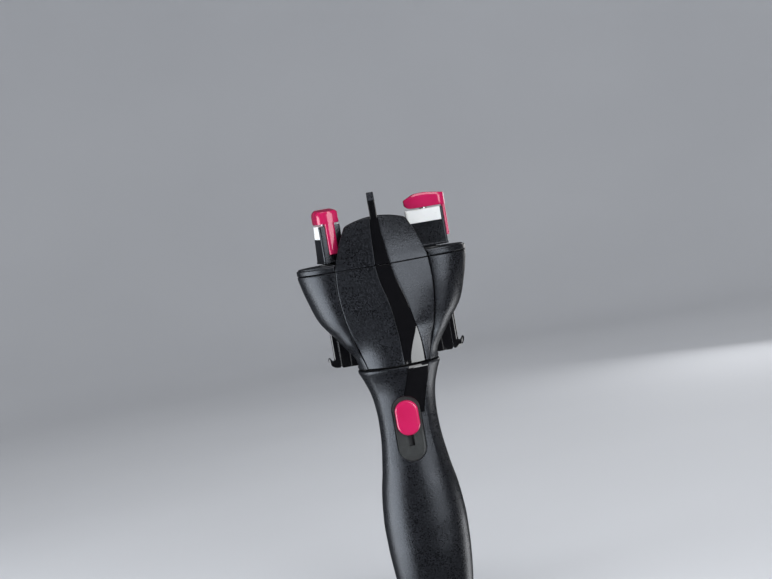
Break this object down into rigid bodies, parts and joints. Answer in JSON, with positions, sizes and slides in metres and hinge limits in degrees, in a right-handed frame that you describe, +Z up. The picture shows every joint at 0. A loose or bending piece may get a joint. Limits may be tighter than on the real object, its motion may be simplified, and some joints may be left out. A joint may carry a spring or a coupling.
{
  "type": "automatic hair braider",
  "caption": "Battery hand-held hair braider: waisted handle with slide switch, turning tulip head, turning clip towers with lifting hooks, and push levers under the wings.",
  "frame": {"origin": "centre of the handle's flat end face, at the bottom of the whole object's box", "axes": "+Z up along the handle and the head's turning axis; -Y is the front, with the slide switch; +X is the viewer's right"},
  "size_m": [0.0886, 0.0512, 0.2199],
  "materials": {
    "satin_black": "fine-textured satin moulded black plastic",
    "gloss_black": "high-gloss black plastic",
    "pink_plastic": "semi-gloss raspberry pink plastic",
    "white_pad": "soft milky white grip pad",
    "dark_grey": "plain dark grey plastic",
    "board_green": "circuit board",
    "cell_metal": "plain wrapped dry cell",
    "steel": "plain steel",
    "brass": "turned brass",
    "nylon": "natural nylon"
  },
  "bodies": {
    "handle": {"handle_front_shell": "satin_black", "handle_rear_shell": "satin_black", "handle_gloss_inlay": "gloss_black", "switch_tray": "dark_grey", "circuit_board": "board_green", "slide_switch": "dark_grey", "battery_cells": "cell_metal", "battery_contacts": "steel", "battery_bulkhead": "dark_grey", "handle_screws": "steel", "motor_can": "steel", "ring_gear_housing": "nylon", "gearbox_cover": "nylon", "neck_bearing": "dark_grey", "one_way_clutch_ring": "steel"},
    "switch": {"switch_button": "pink_plastic"},
    "battery_door": {"battery_cover": "satin_black"},
    "rotor": {"motor_rotor": "steel", "motor_pinion": "brass"},
    "carrier": {"planet_carrier": "steel", "slip_clutch_driver": "brass"},
    "planet_1": {"planet_gear_1": "nylon"},
    "planet_2": {"planet_gear_2": "nylon"},
    "planet_3": {"planet_gear_3": "nylon"},
    "head": {"head_lower_cup": "satin_black", "front_petal_lower": "satin_black", "rear_petal_lower": "satin_black", "front_petal_upper": "satin_black", "rear_petal_upper": "satin_black", "front_gloss_strip": "gloss_black", "rear_gloss_strip": "gloss_black", "divider_fin": "gloss_black", "head_upper_cover": "satin_black", "gear_chassis": "dark_grey", "head_screws": "steel", "spindle_bushes": "dark_grey", "head_hub": "dark_grey", "hub_retaining_clip": "steel", "clutch_rollers": "steel", "stub_housing_left": "gloss_black", "stub_housing_right": "gloss_black"},
    "drive": {"drive_shaft": "steel", "sun_gear": "nylon"},
    "twister_left": {"tower_left": "satin_black", "pad_left": "white_pad", "tower_gear_left": "nylon", "hook_spring_left": "steel"},
    "twister_right": {"tower_right": "satin_black", "pad_right": "white_pad", "tower_gear_right": "nylon", "hook_spring_right": "steel"},
    "hook_left": {"hook_left": "pink_plastic", "lift_rod_left": "steel"},
    "hook_right": {"hook_right": "pink_plastic", "lift_rod_right": "steel"},
    "lever_left": {"pusher_left": "gloss_black"},
    "lever_right": {"pusher_right": "gloss_black"}
  },
  "joints": [
    {"name": "head_spin", "type": "hinge", "parent": "handle", "child": "head", "pos_m": [0, 0, 0.13], "axis": [0, 0, 1], "continuous": true},
    {"name": "drive_spin", "type": "hinge", "parent": "head", "child": "drive", "pos_m": [0, 0, 0.16], "axis": [0, 0, 1], "continuous": true},
    {"name": "twist_left", "type": "hinge", "parent": "head", "child": "twister_left", "pos_m": [-0.026, 0, 0.18], "axis": [0, 0, 1], "continuous": true},
    {"name": "twist_right", "type": "hinge", "parent": "head", "child": "twister_right", "pos_m": [0.026, 0, 0.18], "axis": [0, 0, 1], "continuous": true},
    {"name": "output_spin", "type": "hinge", "parent": "handle", "child": "carrier", "pos_m": [0, 0, 0.117], "axis": [0, 0, 1], "continuous": true},
    {"name": "planet_spin_1", "type": "hinge", "parent": "carrier", "child": "planet_1", "pos_m": [0.0075, 0, 0.1135], "axis": [0, 0, 1], "continuous": true},
    {"name": "planet_spin_2", "type": "hinge", "parent": "carrier", "child": "planet_2", "pos_m": [-0.00375, 0.00649, 0.1135], "axis": [0, 0, 1], "continuous": true},
    {"name": "planet_spin_3", "type": "hinge", "parent": "carrier", "child": "planet_3", "pos_m": [-0.00375, -0.00649, 0.1135], "axis": [0, 0, 1], "continuous": true},
    {"name": "motor_spin", "type": "hinge", "parent": "handle", "child": "rotor", "pos_m": [0, 0, 0.095], "axis": [0, 0, 1], "continuous": true},
    {"name": "push_left", "type": "slide", "parent": "head", "child": "lever_left", "axis": [0, 0, 1], "range_m": [0, 0.006], "stiffness_N_per_m": 120, "springref_m": -0.002},
    {"name": "push_right", "type": "slide", "parent": "head", "child": "lever_right", "axis": [0, 0, 1], "range_m": [0, 0.006], "stiffness_N_per_m": 120, "springref_m": -0.002},
    {"name": "lift_left", "type": "slide", "parent": "twister_left", "child": "hook_left", "axis": [0, 0, 1], "range_m": [0, 0.006], "deforming": ["hook_spring_left"]},
    {"name": "lift_right", "type": "slide", "parent": "twister_right", "child": "hook_right", "axis": [0, 0, 1], "range_m": [0, 0.006], "deforming": ["hook_spring_right"]},
    {"name": "switch_slide", "type": "slide", "parent": "handle", "child": "switch", "axis": [0, 0, 1], "range_m": [-0.01, 0]},
    {"name": "door_lift", "type": "slide", "parent": "handle", "child": "battery_door", "axis": [0, 1, 0], "range_m": [0, 0.012]}
  ],
  "couplings": [
    {"joint": "twist_left", "follows": "drive_spin", "ratio": -1.1667},
    {"joint": "twist_right", "follows": "drive_spin", "ratio": -1.1667},
    {"joint": "output_spin", "follows": "drive_spin", "ratio": 1},
    {"joint": "planet_spin_1", "follows": "drive_spin", "ratio": -2.6667},
    {"joint": "planet_spin_2", "follows": "drive_spin", "ratio": -2.6667},
    {"joint": "planet_spin_3", "follows": "drive_spin", "ratio": -2.6667},
    {"joint": "motor_spin", "follows": "drive_spin", "ratio": 5},
    {"joint": "lift_left", "follows": "push_left", "ratio": 1},
    {"joint": "lift_right", "follows": "push_right", "ratio": 1}
  ]
}
